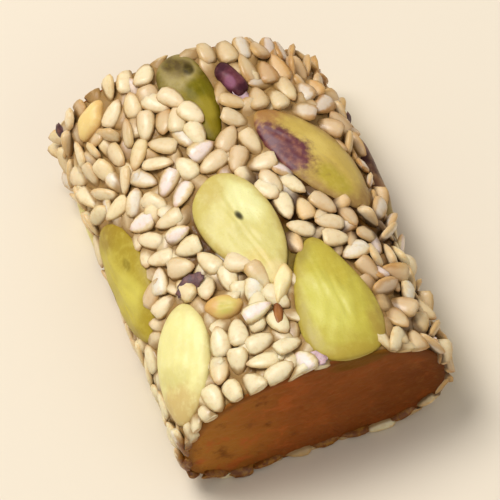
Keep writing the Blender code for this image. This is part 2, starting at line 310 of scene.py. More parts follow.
class Finish:
    """A procedural material round one Principled shader. Of the light, the share `glow` goes
    `depth` millimetres in, times `spread` for red, green and blue."""

    def __init__(self, name, glow, depth, spread=(1.0, 0.2, 0.1), shine=0.5, coat_blur=0.03):
        self.material = bpy.data.materials.new(name)
        self.material.use_nodes = True
        self.tree = self.material.node_tree
        self.shader = self.tree.nodes["Principled BSDF"]
        constants = {
            "Subsurface Weight": glow,
            "Subsurface Scale": depth * MM,
            "Subsurface Radius": spread,
            "Specular IOR Level": shine,
            "Coat Roughness": coat_blur,
        }
        for socket, value in constants.items():
            self.shader.inputs[socket].default_value = value
        self.place = self.add("ShaderNodeTexCoord", output="Object")

    def add(self, kind, settings=None, values=(), output=0):
        """Any node: its settings, then the values or wires of its sockets, by place or name."""
        node = self.tree.nodes.new(kind)
        for setting, value in (settings or {}).items():
            setattr(node, setting, value)
        named = values.items() if isinstance(values, dict) else enumerate(values)
        for socket, value in named:
            self.join(node.inputs[socket], value)
        return Wire(self, node.outputs[output])

    def join(self, socket, value):
        if isinstance(value, Wire):
            self.tree.links.new(value.socket, socket)
        else:
            socket.default_value = value

    def to(self, **values):
        """Joins wires to the shader's own sockets."""
        for socket, value in values.items():
            self.join(self.shader.inputs[socket.replace("_", " ").title()], value)

    def attribute(self, name):
        return self.add("ShaderNodeAttribute", {"attribute_name": name}, output="Fac")

    def noise(self, grains, detail=3.0, rough=0.55, place=None):
        """Noise whose grains are this many millimetres across, from about 0 to 1."""
        values = {
            "Vector": place or self.place,
            "Scale": 1 / (grains * (1 if place else MM)),
            "Detail": detail,
            "Roughness": rough,
        }
        return self.add("ShaderNodeTexNoise", None, values)

    def mix(self, share, first, second):
        """The second colour over the first. Each is a wire, or red, green and blue."""
        first, second = (c if isinstance(c, Wire) else colour(*c) for c in (first, second))
        values = {0: share, 6: first, 7: second}
        return self.add("ShaderNodeMix", {"data_type": "RGBA"}, values, output=2)

    def layered(self, base, *layers):
        """A base colour with others laid over it in turn, each by its share."""
        for share, layer in layers:
            base = self.mix(share, base, layer)
        return base

    def axes(self):
        """X, Y and Z of the place, in millimetres."""
        return [
            self.add("ShaderNodeSeparateXYZ", None, {0: self.place}, output=axis) * (1 / MM)
            for axis in "XYZ"
        ]

    def away_from_middle(self):
        """0 round the kernels in the middle of the top, where the gaps are darkest, and 1 away
        from them, less at the front of the +X side, where the darker film and stains are painted
        shade of the side away from the light."""
        x, y, _ = self.axes()
        far = oval((x, y), (3.0, -3.0), (1 / 11, 1 / 7))
        # Painted shade: the front of the +X side is kept dark.
        front_right = x.step(8, 13) * y.step(1, -6)
        return far.step(0.5, 1.5) * (1 - front_right * 0.75)

    def bump(self, height, depth):
        """A Bump node for relief that is this many millimetres deep."""
        values = {"Height": height, "Distance": depth * MM}
        return self.add("ShaderNodeBump", None, values)


def oval(wires, middle, scales):
    """The square of how far out a place lies in an oval: 0 in its middle and 1 on its rim, which
    is 1 / scale away along each wire."""
    squares = [((w - m) * scale) ** 2.0 for w, m, scale in zip(wires, middle, scales)]
    return squares[0] + squares[1]


def colour(red, green, blue):
    """A colour as it looks on a screen, 0 to 255, made linear by the usual power of 2.2."""
    linear = (np.array((red, green, blue)) / 255) ** 2.2
    return (*linear.tolist(), 1.0)


# ---- where the seeds lie

DEEP_SWING = 1.2  # the deeper seeds swing this many times as far about the roll's direction
DEEP_TRIES = 70


def away_from_kernels(spots):
    """How far each spot must move to leave every kernel's outline, with a seed's width spare."""
    shove = np.zeros_like(spots)
    spare = SEED_WIDTH / 2 + GAP
    for kernel in KERNELS:
        axis, side = headed(np.radians(kernel.heading))
        offset = steps_from((kernel.around, kernel.along), spots)
        long = offset @ axis / (kernel.length / 2 + spare)
        wide = offset @ side / ((kernel.width / 2 + spare) * (1 - kernel.taper * long))
        depth = np.clip(1 - np.hypot(long, wide), 0, None) * kernel.width / 2
        outward = long[:, None] * axis / kernel.length + wide[:, None] * side / kernel.width
        outward /= np.linalg.norm(outward, axis=1, keepdims=True) + TINY
        shove += outward * depth[:, None]
    return shove


def seed_ends(spots, headings):
    """The middles of each seed's two circles, all those at the point first, and its arm."""
    arms = SEED_ARM * np.stack([np.sin(headings), np.cos(headings)], axis=1)
    return np.concatenate([spots + arms, spots - arms]), arms


def random_headings(count, rng, swing=1.0):
    """Headings of seeds that lie along the roll, give or take some, with the point either way."""
    headings = swing * np.radians(SEED_SWING) * rng.normal(size=count)
    return headings + np.pi * rng.integers(0, 2, count)


def settle_seeds():
    """Places (around, along) and headings of the seeds on the surface, as its solids have them.

    Each is put where, of some random places off the kernels, it is furthest from the seeds
    before it. Then they push each other and the kernels' outlines away, each as two circles,
    until they lie side by side. Those that stay too crowded are left out."""
    rng = np.random.default_rng(SEED_DRAW)
    side = -FLAT_FROM - FLOOR_MARGIN
    front = END_MARGIN - LENGTH / 2
    spot = np.zeros((0, 2))
    for _ in range(SEED_COUNT):
        tries = rng.uniform((-side, front), (side, -front), (SEED_TRIES, 2))
        tries = tries[~away_from_kernels(tries).any(axis=1)]
        nearest = np.linalg.norm(tries[:, None] - spot[None], axis=2).min(axis=1, initial=LENGTH)
        spot = np.concatenate([spot, tries[[nearest.argmax()]]])
    heading = random_headings(SEED_COUNT, rng)
    own = np.arange(2 * SEED_COUNT)
    for _ in range(SETTLING_STEPS):
        ends, arm = seed_ends(spot, heading)
        apart = ends[:, None] - ends[None]
        distance = np.hypot(apart[..., 0], apart[..., 1]) + TINY
        push = np.clip(2 * SEED_REACH - distance, 0, None) / 2
        push[own, own] = 0
        push[own, (own + SEED_COUNT) % (2 * SEED_COUNT)] = 0
        shove = (apart * (push / distance)[..., None]).sum(axis=1) + away_from_kernels(ends)
        tip, tail = shove[:SEED_COUNT], shove[SEED_COUNT:]
        spot = np.clip(spot + SETTLING_RATE * (tip + tail), (-side, front), (side, LENGTH))
        back = back_end(np.interp(spot[:, 0], WALKED, OUTLINE[:, 0])) - END_MARGIN
        spot[:, 1] = np.minimum(spot[:, 1], back)
        twist = tip - tail
        turn = arm[:, 1] * twist[:, 0] - arm[:, 0] * twist[:, 1]
        heading = heading + SETTLING_RATE * turn
    crowded = np.maximum(push[:SEED_COUNT].max(axis=1), push[SEED_COUNT:].max(axis=1))
    kept = crowded < SEED_CROWDING
    draws = np.random.default_rng(SEED_DRAW + 1).uniform(-1, 1, (SEED_COUNT, 5))
    return spot[kept], heading[kept], draws[kept]


def kernel_clearance(kernel, spots):
    """How far spots lie outside a kernel's outline. Inside it is negative."""
    axis, side = headed(np.radians(kernel.heading))
    offset = steps_from((kernel.around, kernel.along), spots)
    long = offset @ axis / (kernel.length / 2)
    wide = offset @ side / (kernel.width / 2)
    share = np.hypot(long, wide / (1 - kernel.taper * np.clip(long, -1, 1)))
    return (share - 1) * kernel.width / 2


def seeds_between(taken, count, sides, clear, rng):
    """Spots and headings for deeper seeds, in the gaps between the circles of those that are
    there. Each is put where, of some random places, it is furthest from all the others."""
    headings = random_headings(count, rng, DEEP_SWING)
    spots = np.zeros((0, 2))
    for _ in range(count):
        tried = rng.uniform((sides[0], -LENGTH / 2), (sides[1], LENGTH / 2), (DEEP_TRIES, 2))
        tried = tried[np.min([kernel_clearance(k, tried) for k in KERNELS], axis=0) > clear]
        others = np.concatenate([taken, seed_ends(spots, headings[: len(spots)])[0]])
        apart = steps_from(others[None], tried[:, None])
        nearest = np.linalg.norm(apart, axis=2).min(axis=1)
        spots = np.concatenate([spots, tried[[nearest.argmax()]]])
    return spots, headings


# ---- sesame seeds

SEED_GRID = (6, 8)  # rings and places round each ring
SEED_THICKNESS = 0.86
SEED_BEND = 0.18
POINT_SPREAD = 0.12
SEED_SPREAD = (1.17, 1.1, 1.05)  # they press a little wider than the mounds of the solid
SEED_LIFT = 0.2  # how far its middle lies over the coat
LIFT_SPREAD = 0.08
SEED_LEAN = 18.0  # degrees, nodding and rolling, for those on the surface
TANGLE = (14.0, 52.0)  # and this much more where they lie less flat
CALM_LEAN = 8.0
DEEP_SEEDS = 260
DEEP_LIFT = -0.18
DEEP_LEAN = 22.0
DEEP_SIZE = 0.94
DEEP_CLEAR = 0.2  # they start this far outside a kernel's outline
DEEP_MARGIN = 0.4  # and this far up from where the underside is flat
# Painted shade: the deeper seeds, low between the others, are made this much browner.
DEEP_SEED_SHADE = 0.08
BOARD_SEEDS = 70
BOARD_LIFT = -0.2
BOARD_SEED_CLEAR = 1.0
BOARD_SEED_MARGIN = 1.0
CUT_SPREAD = 0.2  # where the knife met seeds, each stands out of the cut by up to this far
STRAY_BEYOND = 0.7  # and a stray by this much further
SEED_CHANNELS = ("tip", "edge", "bare", "toast", "tone")

# Seeds where the solid has no mound: lapping over the edges of kernels, and pressed out from
# under the roll along the front cut. Toast is 0 for cream and 1 for brown, and one with more
# is smeared with jelly. A tone near 0 is pinkish.
Stray = namedtuple("Stray", "around along heading lift toast tone", defaults=(0.5,))
STRAYS = tuple(Stray(*row) for row in (
    (-4.7, 15.6, 141.0, 0.35, 0.2),
    (-2.9, 15.2, 145.0, 0.75, 0.25),
    (-1.6, 12.6, 150.0, 0.85, 0.1),
    (-2.0, 10.2, 172.0, 0.5, 0.15),
    (-3.2, 12.9, 20.0, 0.5, 0.35),
    (-2.9, -6.4, 132.0, 0.65, 0.3),
    (-1.4, -8.6, 168.0, 0.6, 0.75, 0.9),
    (-3.0, -12.6, 82.0, 0.9, -0.2, 0.0),
    (-2.6, -11.4, 20.0, 0.45, 0.3),
    (2.9, 1.2, 157.0, 0.3, 0.0),
    (-12.8, -4.4, 60.0, 0.35, 0.5),
    (GIRTH / 2 - 12.7, -20.5, 70.0, -0.7, 0.35),
    (GIRTH / 2 - 9.7, -20.6, 110.0, -0.7, 1.4),
    (GIRTH / 2 - 6.8, -20.9, 97.0, -0.5, 0.0),
    (GIRTH / 2 - 3.9, -20.5, 80.0, -0.5, 1.4),
    (GIRTH / 2 - 0.7, -20.4, 100.0, -0.5, 1.4),
    (GIRTH / 2 + 2.6, -20.5, 85.0, -0.5, 1.0),
    (GIRTH / 2 + 5.9, -20.7, 110.0, -0.6, 1.5),
    (GIRTH / 2 + 9.2, -20.8, 75.0, -0.6, 1.5),
    (GIRTH / 2 + 12.2, -20.6, 115.0, -0.8, 1.5),
))


def seed_forms(count, rng):
    """Seeds of unit length, width and thickness, pointing along their second axis.

    Rings run from the point to the blunt end at angles v: long = cos v / 2, and a ring has
    the girth sin(v)^(0.8 + 0.35 cos v) (1 - point cos v), a drop with a blunt end. Round it, at
    angles s, wide = girth cos(s) / 2 and thick = girth^0.75 sin(s) / 2. Each is bent a little to
    one side. A fourth channel runs from -1 at the blunt end to 1 at the point, and a fifth is 1
    along the seed's edge and 0 on top of it."""
    v, s = grid_angles(*SEED_GRID)
    point = SEED_POINT + POINT_SPREAD * rng.uniform(-1, 1, (count, 1, 1))
    girth = np.sin(v) ** (0.8 + 0.35 * np.cos(v)) * (1 - point * np.cos(v))
    long = np.cos(v) / 2 + 0 * s + 0 * point
    wide = girth * np.cos(s) / 2
    thick = girth**0.75 * np.sin(s) / 2
    bend = SEED_BEND * rng.uniform(-1, 1, (count, 1, 1))
    wide = wide + bend * long**2
    tip = np.cos(v) + 0 * long
    edge = np.abs(np.cos(s)) + 0 * long
    return np.stack([wide, long, thick, tip, edge], axis=-1)


def turned_frames(outwards, headings, tilts):
    """For each seed a matrix whose columns are its side, its length and its top: it lies on
    the surface along its heading, and is then tilted about its side and about its length."""
    sin, cos = np.sin(headings), np.cos(headings)
    long = np.stack([sin * outwards[:, 2], cos, -sin * outwards[:, 0]], axis=1)
    side = np.cross(long, outwards)
    tilts = tilts.T[..., None]
    (sin_nod, sin_roll), (cos_nod, cos_roll) = np.sin(tilts), np.cos(tilts)
    long, top = long * cos_nod + outwards * sin_nod, outwards * cos_nod - long * sin_nod
    side, top = side * cos_roll - top * sin_roll, side * sin_roll + top * cos_roll
    return np.stack([side, long, top], axis=2)


def toast_and_shade_of(spots, rng):
    """How toasted seeds are: more towards the back, and more on the +X side and most at its
    front, where the added brown is painted shade of the side away from the light; less on the -X
    side, where the paler cream is painted light; and each its own."""
    around, along = spots.T
    toast = 0.21 + 0.006 * np.clip(around - 5, 0, 12) + 0.013 * (along + 5)
    # Painted shade: more brown on the +X side, most at its front, stands for the shade there.
    toast += 0.56 * eased(around, 8, 12) * eased(-along, 6, 13)
    toast += 0.25 * eased(around, 2, 8) * eased(along, 6, 14)
    # Painted light: less brown on the -X side, which faces the light.
    toast -= 0.22 * eased(-around, 4, 10)
    return toast + 0.17 * rng.normal(size=len(spots))


def placed_seeds(spots, headings, lifts, leans, sizes, toast, rng, beyond=0.0, tone=None):
    """A grid of seed points in place. Channels: how near the seed's tip and its edge, how many
    millimetres clear of the film, which browns it and near which it is painted in shade, and the
    seed's two tones, the first with painted shade in it. What would pass the cuts by more than
    `beyond`, or the board, is pressed back to them."""
    forms = seed_forms(len(spots), rng)
    points, outwards = surface(spots[:, 0], spots[:, 1], lifts)
    frames = turned_frames(outwards, headings, np.radians(leans))
    full = np.array(SEED_SPREAD) * (SEED_WIDTH, SEED_LENGTH, SEED_THICKNESS)
    turned = np.einsum("nij,nrsj->nrsi", frames, forms[..., :3] * (sizes * full)[:, None, None])
    bare = np.einsum("ni,nrsi->nrs", outwards, turned) + np.reshape(lifts, (-1, 1, 1))
    placed = turned + points[:, None, None]
    back = back_end(placed[..., 0])
    past_cuts = np.maximum(-LENGTH / 2 - placed[..., 1], placed[..., 1] - back)
    bare = np.maximum(bare, past_cuts)
    beyond = beyond + CUT_SPREAD * rng.uniform(0, 1, (len(spots), 1, 1))
    placed[..., 1] = np.clip(placed[..., 1], -LENGTH / 2 - beyond, back + beyond)
    above_board(placed)
    tone = rng.uniform(0, 1, len(spots)) if tone is None else tone
    own = np.stack([toast, tone], axis=1)[:, None, None] + np.zeros((*placed.shape[:3], 1))
    return np.concatenate([placed, forms[..., 3:], bare[..., None], own], axis=-1)


def loose_seeds(
    spots, headings, lifts, rng, lean=CALM_LEAN, size=1.0, toast=None, added_shade=0.0, **stray
):
    """Placed seeds that lean and differ in size at random."""
    leans = lean * rng.uniform(-1, 1, (len(spots), 2))
    sizes = size + SEED_SIZE_SPREAD * rng.uniform(-1, 1, (len(spots), 3))
    toast = toast_and_shade_of(spots, rng) + added_shade if toast is None else toast
    return placed_seeds(spots, headings, lifts, leans, sizes, toast, rng, **stray)


def make_seeds(finish):
    """All the sesame seeds in one piece: those on the surface, those deeper between them, the
    strays, and those pressed into the underside."""
    spots, headings, draws = settle_seeds()
    rng = np.random.default_rng(SEED_DRAW + 2)
    lifts = SEED_LIFT + LIFT_SPREAD * rng.uniform(-1, 1, len(spots))
    around, along = spots.T
    tangled = np.maximum(eased(around, 7, 13), eased(-around, 4, 12) * eased(along, 2, 12))
    leans = (SEED_LEAN + np.array(TANGLE) * tangled[:, None]) * draws[:, 3:]
    sizes = 1 + SEED_SIZE_SPREAD * draws[:, :3]
    toast = toast_and_shade_of(spots, rng)
    on_top = placed_seeds(spots, headings, lifts, leans, sizes, toast, rng)

    taken, _ = seed_ends(spots, headings)
    side = -FLAT_FROM - DEEP_MARGIN
    deep = seeds_between(taken, DEEP_SEEDS, (-side, side), DEEP_CLEAR, rng)
    lifts = DEEP_LIFT + LIFT_SPREAD * rng.uniform(-1, 1, DEEP_SEEDS)
    between = loose_seeds(*deep, lifts, rng, DEEP_LEAN, DEEP_SIZE, added_shade=DEEP_SEED_SHADE)

    strays = np.array(STRAYS)
    turns, lifts, toast, tone = np.radians(strays[:, 2]), *strays[:, 3:].T
    own = {"toast": toast, "beyond": STRAY_BEYOND, "tone": tone}
    apart = loose_seeds(strays[:, :2], turns, lifts, rng, **own)

    sides = (side + BOARD_SEED_MARGIN, GIRTH - side - BOARD_SEED_MARGIN)
    under = seeds_between(taken, BOARD_SEEDS, sides, BOARD_SEED_CLEAR, rng)
    beneath = loose_seeds(*under, BOARD_LIFT, rng)

    form = closed_form(np.concatenate([on_top, between, apart, beneath]))
    seeds = make_piece("sesame_seeds", form, finish, SEED_CHANNELS)
    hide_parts("sesame_coat")
    return spots, headings


# ---- the sticky coat

COAT_GRID = (200, 300)  # places along the roll and round it
COAT_WALL = 0.9
COAT_INNER_STEP = 8  # its plain inner side has a row for each of this many
COAT_END = 0.12  # its ends stop this far short of the cuts
END_DROP = 0.35
END_ROUND = 0.5
BOARD_CLEAR = 0.03
FILM_DRAW = 31
FILM_SWELL = (0.09, 4.0)  # height and size of its soft unevenness
FILM_GRAIN = (0.04, 1.3)  # and of its finer one
FILM_SUNK = 0.32
FILM_CLIMB = 0.24
SEED_CLIMB = (0.95, 0.28)  # as shares of a seed: where it is highest, and how widely
KERNEL_CLIMB = (1.3, 0.35)  # and at a kernel how much higher, and millimetres widely
MOST_CLIMB = 1.6


def coat_height(around, along, spots, headings):
    """Height of the sticky film: uneven, sunk between the seeds, and drawn up against every
    seed and kernel, as exp(-(d / width)^2), where d is the distance from its outline, or from
    just inside it for a seed."""
    place = np.stack([around, along], axis=-1)
    point = surface(around, along)[0]
    height = ripple(point, *FILM_SWELL, FILM_DRAW) + ripple(point, *FILM_GRAIN, FILM_DRAW + 1)
    drawn_up = np.zeros_like(around)
    for spot, heading in zip(spots, headings):
        offset = steps_from(spot, place)
        near = np.abs(offset).max(axis=-1) < 2 * SEED_LENGTH
        axis, side = headed(heading)
        long = offset[near] @ axis / (SEED_LENGTH / 2)
        wide = offset[near] @ side / (SEED_WIDTH / 2)
        drawn_up[near] += np.exp(-(((np.hypot(long, wide) - SEED_CLIMB[0]) / SEED_CLIMB[1]) ** 2))
    for kernel in KERNELS:
        away = kernel_clearance(kernel, place)
        drawn_up += KERNEL_CLIMB[0] * np.exp(-((away / KERNEL_CLIMB[1]) ** 2))
    return height - FILM_SUNK + FILM_CLIMB * np.minimum(drawn_up, MOST_CLIMB)


def make_coat(finish, spots, headings):
    """The film that holds the seeds: a tube whose outer side has the film's height, with round
    ends just short of the cuts, and whose inner side is plain."""
    rows, columns = COAT_GRID
    share = np.linspace(0, 1, rows)
    around = np.linspace(-GIRTH / 2, GIRTH / 2, columns, endpoint=False)
    across = np.interp(around, WALKED, OUTLINE[:, 0])
    front = COAT_END - LENGTH / 2
    along = front + share[:, None] * (back_end(across) - COAT_END - front)[None]
    around = around + np.zeros_like(along)
    height = coat_height(around, along, spots, headings)
    from_end = np.minimum(along - along[:1], along[-1:] - along)
    height -= END_DROP * (1 - eased(from_end, 0.0, END_ROUND))
    outer = surface(around, along, height)[0]
    around, along = around[::COAT_INNER_STEP], along[::COAT_INNER_STEP]
    inner = surface(around, along, np.full_like(along, -COAT_WALL))[0]
    tube = above_board(np.concatenate([outer, inner[::-1]]), BOARD_CLEAR)
    coat = make_piece("sticky_coat", ring_form(tube), finish)
    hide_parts("sesame_coat")


# ---- skin flakes

# Flakes of papery skin stuck between the seeds: around, along, length, width, heading, lift,
# and a tone that is 0 for plum and 1 for lavender.
FLAKES = (
    (0.9, -20.1, 2.1, 1.5, 130.0, 0.35, 1.0),
    (-8.5, -6.2, 3.4, 1.9, 78.0, 0.5, 0.1),
    (-17.3, 19.9, 2.4, 1.6, 20.0, 0.3, 0.0),
    (4.3, 13.2, 2.4, 1.5, 150.0, 0.1, 0.8),
    (17.6, 10.2, 2.6, 1.4, 10.0, 0.45, 0.0),
    (-3.4, -4.6, 1.8, 1.0, 40.0, -0.1, 0.3),
    (-19.5, -13.0, 2.2, 1.3, 60.0, 0.1, 0.5),
    (21.5, -5.5, 2.4, 1.4, -40.0, 0.1, 0.2),
)
FLAKE_GRID = (9, 18)
FLAKE_THICKNESS = 0.22
FLAKE_TEAR = 0.16
FLAKE_BEND = 0.22
FLAKE_LEAN = 14.0
PLUM = (98, 50, 56)
PLUM_LIGHT = (136, 84, 68)
PLUM_DARK = (62, 26, 34)
PLUM_VEIN = (58, 26, 32)
LAVENDER = (204, 172, 176)


def make_flakes(finish):
    """Flakes as thin closed petals: rings from tip to tip at angles v, long = -cos v / 2 and
    wide = sin(v)^0.7 / 2, torn at the rim and bent as the product of two sine waves."""
    flakes = np.array(FLAKES)
    around, along, length, width, heading, lift, tone = flakes.T
    rng = np.random.default_rng(SEED_DRAW + 3)
    v, s = grid_angles(*FLAKE_GRID, shift=0.5)
    torn = FLAKE_TEAR * rng.uniform(-1, 1, (len(flakes), *FLAKE_GRID))
    torn = 1 + torn * np.abs(np.cos(s)) ** 4
    long = length[:, None, None] * -np.cos(v) / 2 * torn
    wide = width[:, None, None] * np.sin(v) ** 0.7 * np.cos(s) / 2 * torn
    phase = rng.uniform(0, 2 * np.pi, (len(flakes), 1, 1))
    bend = FLAKE_BEND * np.sin(2.4 * long + phase) * np.cos(2.0 * wide + phase)
    thick = bend + FLAKE_THICKNESS * np.sin(v) ** 0.5 * np.sin(s) / 2
    points, outwards = surface(around, along, lift)
    leans = np.radians(FLAKE_LEAN) * rng.uniform(-1, 1, (len(flakes), 2))
    frames = turned_frames(outwards, np.radians(heading), leans)
    petals = np.stack(np.broadcast_arrays(wide, long, thick), axis=-1)
    placed = np.einsum("nij,nrsj->nrsi", frames, petals) + points[:, None, None]
    above_board(placed)
    tone = tone[:, None, None, None] + np.zeros((*placed.shape[:3], 1))
    form = closed_form(np.concatenate([placed, tone], axis=-1))
    piece = make_piece("skin_flakes", form, finish, ("tone",))
    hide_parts("sesame_coat")


def flake_finish():
    """Papery pistachio skin: plum to lavender, veined and a little shiny."""
    finish = Finish("papery_skin", 0.1, 0.3)
    mottle, veins = finish.noise(0.7), finish.noise(0.25, rough=0.7)
    skin = finish.layered(
        PLUM_DARK,
        (finish.attribute("tone"), LAVENDER),
        (mottle.step(0.4, 0.7) * 0.5, PLUM_LIGHT),
        (veins.step(0.55, 0.7) * 0.4, PLUM_VEIN),
    )
    finish.to(base_color=skin, roughness=0.35 + veins * 0.3, normal=finish.bump(veins, 0.06))
    return finish


# ---- the jelly inside

JELLY_SIDES = 180
CUT_RINGS = 46
CUT_INSETS = (0.10, 0.40)  # the front and back cut faces end this far inside the roll's surface
CUT_DRAW = 41
CUT_SWELL = (0.1, 2.6)  # depth and size of the knife's ripples, which are drawn out across
CUT_STRETCH = (0.45, 1.0)
CUT_GRAIN = (0.05, 0.9)  # and of its finer ones
EDGE_ROUND = 0.3
EDGE_TURNS = (30, 60, 90)  # degrees round the edge, a ring at each
WALL_INSET = 1.0
WALL_DEPTHS = (1.2, 6.0)


def make_jelly(finish):
    """The brown inside: a cut face of rings from its middle out, a round edge, the side set
    back under the coat, and the same at the back. A ring lies at a share of the way from the
    belly line to the rolled surface, and the knife has left soft ripples on the faces. The
    share is kept as a channel."""
    turn = np.linspace(-np.pi, np.pi, JELLY_SIDES, endpoint=False)[None]
    walls = np.ones(len(WALL_DEPTHS))
    bend = np.radians(np.append(np.zeros(CUT_RINGS), EDGE_TURNS))
    share = np.concatenate([np.linspace(0.02, 1, CUT_RINGS), np.ones(len(EDGE_TURNS)), walls])
    depth = np.append(EDGE_ROUND * (1 - np.cos(bend)), WALL_DEPTHS)
    turn = turn + 0 * share[:, None]
    calm = 1 - eased(share, 0.9, 1.0)
    halves = []
    for end, cut_inset in zip((-1, 1), CUT_INSETS):
        inset = np.append(EDGE_ROUND * (1 - np.sin(bend)) + cut_inset, WALL_INSET * walls)
        rim = rolled(turn, np.full_like(turn, end * LENGTH / 2), inset[:, None])
        spread = rim * (1, 0, 1) - (0, 0, BELLY)
        ring = above_board(spread * share[:, None, None] + (0, 0, BELLY), BOARD_CLEAR)
        cut = back_end(ring[..., 0]) if end > 0 else -LENGTH / 2
        face = ring[..., [0, 2]]
        relief = ripple(face * CUT_STRETCH, *CUT_SWELL, CUT_DRAW + end)
        relief += ripple(face, *CUT_GRAIN, CUT_DRAW + 10 + end)
        ring[..., 1] = cut - end * (depth[:, None] + calm[:, None] * np.abs(relief))
        edge = turn[..., None] * 0 + share[:, None, None]
        halves.append(np.concatenate([ring, edge], axis=-1)[::-end])
    form = closed_form(np.concatenate(halves))
    jelly = make_piece("jelly_inside", form, finish, ("edge",))
    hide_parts("jelly_core")


# ---- pistachio kernels

KERNEL_GRID = (44, 72)
FRAGMENT_GRID = (20, 30)
FRAGMENT_LENGTH = 6.0
CUT_PROUD = 0.06  # a kernel that the knife met stands this far out of the cut
KERNEL_GRAIN = (0.05, 0.9)  # height and size of its fine relief, which is drawn out along it
KERNEL_STRETCH = (0.25, 1.0)
KERNEL_SWELL = (0.09, 3.0)  # and of its soft relief
RAGGED_SIZE = 1.4  # of what makes the outline uneven, where its radius is 1
KERNEL_DRAW = 100
KERNEL_CHANNELS = ("edge", "long", "side")


def kernel_form(kernel, draw, look):
    """A kernel whose outline, a drop, is drawn on the roll. Over it the height is
    rise x (1 - spread^p)^(1/p) with p its flatness, and below it closes like half an
    ellipsoid. Channels: share of the way to the outline, and millimetres along and across."""
    flatness = look.flatness
    v, spin = grid_angles(*(KERNEL_GRID if kernel.length > FRAGMENT_LENGTH else FRAGMENT_GRID))
    up = np.cos(v) + 0 * spin
    spread = np.sin(v) + 0 * spin
    axis, side = headed(np.radians(kernel.heading))
    round_outline = np.stack([np.cos(spin), np.sin(spin)], axis=-1)
    uneven = 1 + ripple(round_outline, look.ragged, RAGGED_SIZE, draw)

    def on_roll(spread, height):
        long = kernel.length / 2 * np.cos(spin) * spread * uneven
        wide = -kernel.width / 2 * np.sin(spin) * spread * uneven
        wide = wide * (1 - kernel.taper * np.cos(spin))
        spots = (kernel.around, kernel.along) + long[..., None] * axis + wide[..., None] * side
        return surface(spots[..., 0], spots[..., 1], height)[0], long, wide

    over = up > 0
    dome = (1 - np.where(over, spread, 0) ** flatness) ** (1 / flatness)
    _, long, wide = on_roll(spread, 0 * up)
    spots = np.stack([long, wide], axis=-1)
    relief = ripple(spots * KERNEL_STRETCH, *KERNEL_GRAIN, draw + 1)
    relief += ripple(spots, *KERNEL_SWELL, draw)
    height = np.where(over, look.rise * dome + relief * np.clip(1.2 - spread, 0, 1), 0)
    top = on_roll(spread, height)[0]
    rim = on_roll(np.ones_like(spread), 0 * up)[0]
    middle = rim.mean(axis=(0, 1))
    outward = surface(np.array(kernel.around), np.array(kernel.along))[1]
    depth = KERNEL_DEPTH * min(1.0, kernel.width / KERNEL_FULL_WIDTH)
    sunk = depth * np.minimum(up, 0)
    below = middle + (rim - middle) * spread[..., None] + outward * sunk[..., None]
    points = np.where(over[..., None], top, below)
    ends = (-LENGTH / 2 - CUT_PROUD, back_end(points[..., 0]) + CUT_PROUD)
    points[..., 1] = np.clip(points[..., 1], *ends)
    above_board(points)
    edge = np.where(over, spread, 1.0)
    return np.concatenate([points, np.stack([edge, long, wide], axis=-1)], axis=-1)


Patch = namedtuple("Patch", "long side reach_long reach_side colour strength")
LOOK_WORDS = "middle rim streak patches skin rim_from flatness rise dot ragged shine"
LOOK_DEFAULTS = ((), None, 0.55, 2.0, KERNEL_RISE, None, 0.035, 0.4)
DOT_COLOUR = (56, 50, 8)


class Look(namedtuple("Look", LOOK_WORDS, defaults=LOOK_DEFAULTS)):
    """How a kernel looks. Middle, rim and streak are colours of its flesh, and the rim begins
    at a share of the way out. Patches are ovals of other tones, and skin is an oval of papery
    skin. A dot is dark, with its place and reach. Ragged is how uneven the outline is."""

    def __new__(cls, middle, rim, streak, *patches, **others):
        patches = [Patch(*patch) for patch in patches]
        return super().__new__(cls, middle, rim, streak, patches, **others)


def kernel_finish(name, look):
    """Kernel flesh: a middle and a deeper rim, soft patches of other tones, streaks along the
    kernel, fine pores and, where there is a skin patch, papery skin with ragged edges."""
    finish = Finish(name, 0.15, 0.8, (0.9, 0.8, 0.3), look.shine)
    edge, along, across = map(finish.attribute, KERNEL_CHANNELS)
    drawn_out = finish.add("ShaderNodeCombineXYZ", None, (across, along * 0.3, 0.0))
    streaks = finish.noise(0.5, place=drawn_out)
    clouds = finish.noise(2.4)
    mottle = finish.noise(0.9, rough=0.6)
    pores = finish.noise(0.28, 2.0)

    def share_of(patch, ragged):
        scales = (1 / patch.reach_long, 1 / patch.reach_side)
        reach = oval((along, across), (patch.long, patch.side), scales) ** 0.5
        reach = reach + (clouds - 0.5) * 0.9 + (mottle - 0.5) * ragged
        return reach.step(1.35, 0.45 + 0.3 * ragged) * patch.strength

    flesh = finish.layered(
        look.middle,
        ((edge + (clouds - 0.5) * 0.6).step(look.rim_from, 1.05), look.rim),
        *[(share_of(patch, 0.4), patch.colour) for patch in look.patches],
        (mottle.step(0.45, 0.75) * 0.3, look.streak),
        (streaks.step(0.45, 0.75) * 0.08, look.streak),
        (pores.step(0.58, 0.75) * 0.22, look.rim),
    )
    if look.skin:
        papery = finish.layered(
            PLUM,
            (mottle.step(0.4, 0.7), PLUM_LIGHT),
            (streaks.step(0.5, 0.8) * 0.5, PLUM_DARK),
        )
        flesh = finish.mix(share_of(look.skin, 1.0), flesh, papery)
    if look.dot:
        *middle, reach = look.dot
        far = oval((along, across), middle, (0.5, 1.0))
        flesh = finish.mix(far.step(reach**2, 0.0), flesh, DOT_COLOUR)
    finish.to(
        base_color=flesh,
        roughness=0.36 + mottle * 0.2,
        normal=finish.bump(streaks * 0.3 + pores * 0.3 + mottle * 0.4, 0.05),
    )
    return finish


